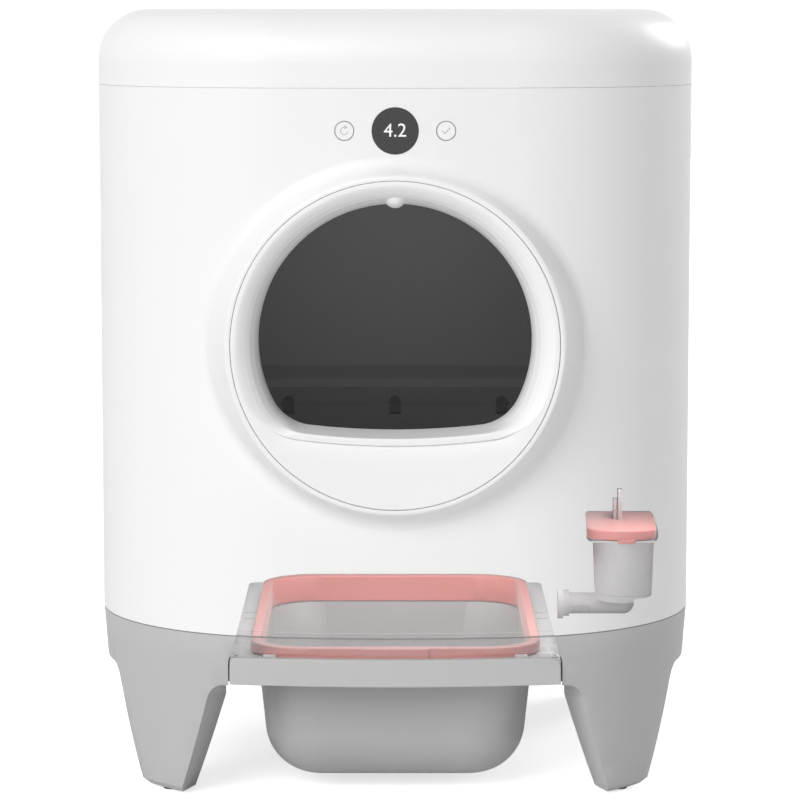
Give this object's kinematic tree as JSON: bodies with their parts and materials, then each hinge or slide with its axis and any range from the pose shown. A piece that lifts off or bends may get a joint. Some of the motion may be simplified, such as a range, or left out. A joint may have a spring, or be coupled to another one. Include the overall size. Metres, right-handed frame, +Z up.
{
  "type": "self-cleaning litter box",
  "caption": "Rounded-square self-cleaning litter box: turning drum behind a round entrance, lift-off lid, waste drawer with bin and bag ring, on a legged base",
  "frame": {"origin": "middle of the footprint's bounding box, on the floor under the foot pads", "axes": "+X to the object's left as a cat walks in (right in a front view), +Y to the back, +Z up; the entrance faces -Y"},
  "size_m": [0.504, 0.532, 0.64],
  "materials": {
    "shell_white": "satin white moulding with a soft sheen",
    "base_grey": "mid grey moulding, fine satin grain",
    "panel_grey": "grey satin moulding",
    "bin_grey": "grey moulding, slightly glossy",
    "ring_pink": "salmon pink moulding, satin",
    "drum_black": "charcoal moulding, matte",
    "liner_black": "charcoal soft moulding, matte",
    "display_black": "dark smoked window, glossy",
    "unit_grey": "light grey moulding",
    "frame_grey": "light grey moulding",
    "mechanism_grey": "dark grey engineering plastic",
    "roller_white": "white slippery plastic",
    "pad_rubber": "black rubber",
    "seal_rubber": "pink soft rubber",
    "steel": "zinc-plated steel",
    "board_green": "green lacquered circuit board"
  },
  "bodies": {
    "housing": {"base_skirt": "base_grey", "drawer_bridge": "base_grey", "load_cells": "steel", "deck_plate": "base_grey", "shell_screws": "steel", "body_front": "shell_white", "body_back": "shell_white", "entrance_ring": "shell_white", "sensor_dome": "shell_white", "mouth_collar": "drum_black", "display_window": "display_black", "control_board": "board_green", "drawer_runner_left": "mechanism_grey", "drawer_runner_right": "mechanism_grey", "gearbox": "mechanism_grey", "drive_motor": "steel", "motor_bracket": "steel", "roller_axles": "steel", "mist_duct": "unit_grey", "duct_flange": "unit_grey", "duct_seal": "seal_rubber", "pump_housing": "unit_grey", "power_inlet": "mechanism_grey", "foot_pad_back_right": "pad_rubber", "foot_pad_back_left": "pad_rubber", "foot_pad_front_left": "pad_rubber", "foot_pad_front_right": "pad_rubber", "roller_bracket_front_left": "mechanism_grey", "roller_bracket_front_right": "mechanism_grey", "roller_bracket_back_left": "mechanism_grey", "roller_bracket_back_right": "mechanism_grey"},
    "lid": {"top_lid": "shell_white"},
    "drawer": {"drawer_panel": "panel_grey", "drawer_frame": "frame_grey", "waste_bin": "bin_grey"},
    "ring": {"bag_ring": "ring_pink"},
    "drum": {"drum_wall": "drum_black", "drum_front": "drum_black", "drum_back": "drum_black", "drum_track_front": "drum_black", "drum_track_back": "drum_black", "litter_liner": "liner_black", "liner_clips": "mechanism_grey", "sieve": "drum_black", "gear_ring": "mechanism_grey"},
    "pinion": {"drive_pinion": "roller_white"},
    "cup": {"deodoriser_cup": "unit_grey"},
    "cup_cover": {"cup_lid": "ring_pink", "lid_post": "unit_grey"},
    "left_key": {"button_left": "shell_white"},
    "right_key": {"button_right": "shell_white"},
    "front_left_wheel": {"roller_front_left": "roller_white"},
    "front_right_wheel": {"roller_front_right": "roller_white"},
    "back_left_wheel": {"roller_back_left": "roller_white"},
    "back_right_wheel": {"roller_back_right": "roller_white"}
  },
  "joints": [
    {"name": "drum_turn", "type": "hinge", "parent": "housing", "child": "drum", "pos_m": [0, 0, 0.376], "axis": [0, -1, 0], "range_deg": [-40, 200]},
    {"name": "pinion_turn", "type": "hinge", "parent": "housing", "child": "pinion", "pos_m": [0.16853, 0.154, 0.23459], "axis": [0, -1, 0], "range_deg": [-1180, 240]},
    {"name": "lid_lift", "type": "slide", "parent": "housing", "child": "lid", "axis": [0, 0, 1], "range_m": [0, 0.25]},
    {"name": "drawer_slide", "type": "slide", "parent": "housing", "child": "drawer", "axis": [0, -1, 0], "range_m": [0, 0.41]},
    {"name": "ring_lift", "type": "slide", "parent": "drawer", "child": "ring", "axis": [0, 0, 1], "range_m": [0, 0.03]},
    {"name": "cup_lift", "type": "slide", "parent": "housing", "child": "cup", "axis": [0, 0, 1], "range_m": [0, 0.03]},
    {"name": "cover_lift", "type": "slide", "parent": "cup", "child": "cup_cover", "axis": [0, 0, 1], "range_m": [0, 0.03]},
    {"name": "left_key_press", "type": "slide", "parent": "housing", "child": "left_key", "axis": [0, 1, 0], "range_m": [0, 0.001], "stiffness_N_per_m": 900},
    {"name": "right_key_press", "type": "slide", "parent": "housing", "child": "right_key", "axis": [0, 1, 0], "range_m": [0, 0.001], "stiffness_N_per_m": 900},
    {"name": "front_left_wheel_turn", "type": "hinge", "parent": "housing", "child": "front_left_wheel", "pos_m": [-0.13877, -0.177, 0.23723], "axis": [0, -1, 0], "range_deg": [-2610, 530]},
    {"name": "front_right_wheel_turn", "type": "hinge", "parent": "housing", "child": "front_right_wheel", "pos_m": [0.13877, -0.177, 0.23723], "axis": [0, -1, 0], "range_deg": [-2610, 530]},
    {"name": "back_left_wheel_turn", "type": "hinge", "parent": "housing", "child": "back_left_wheel", "pos_m": [-0.13877, 0.183, 0.23723], "axis": [0, -1, 0], "range_deg": [-2610, 530]},
    {"name": "back_right_wheel_turn", "type": "hinge", "parent": "housing", "child": "back_right_wheel", "pos_m": [0.13877, 0.183, 0.23723], "axis": [0, -1, 0], "range_deg": [-2610, 530]}
  ],
  "couplings": [
    {"joint": "pinion_turn", "follows": "drum_turn", "ratio": -5.875},
    {"joint": "front_left_wheel_turn", "follows": "drum_turn", "ratio": -13},
    {"joint": "front_right_wheel_turn", "follows": "drum_turn", "ratio": -13},
    {"joint": "back_left_wheel_turn", "follows": "drum_turn", "ratio": -13},
    {"joint": "back_right_wheel_turn", "follows": "drum_turn", "ratio": -13}
  ]
}
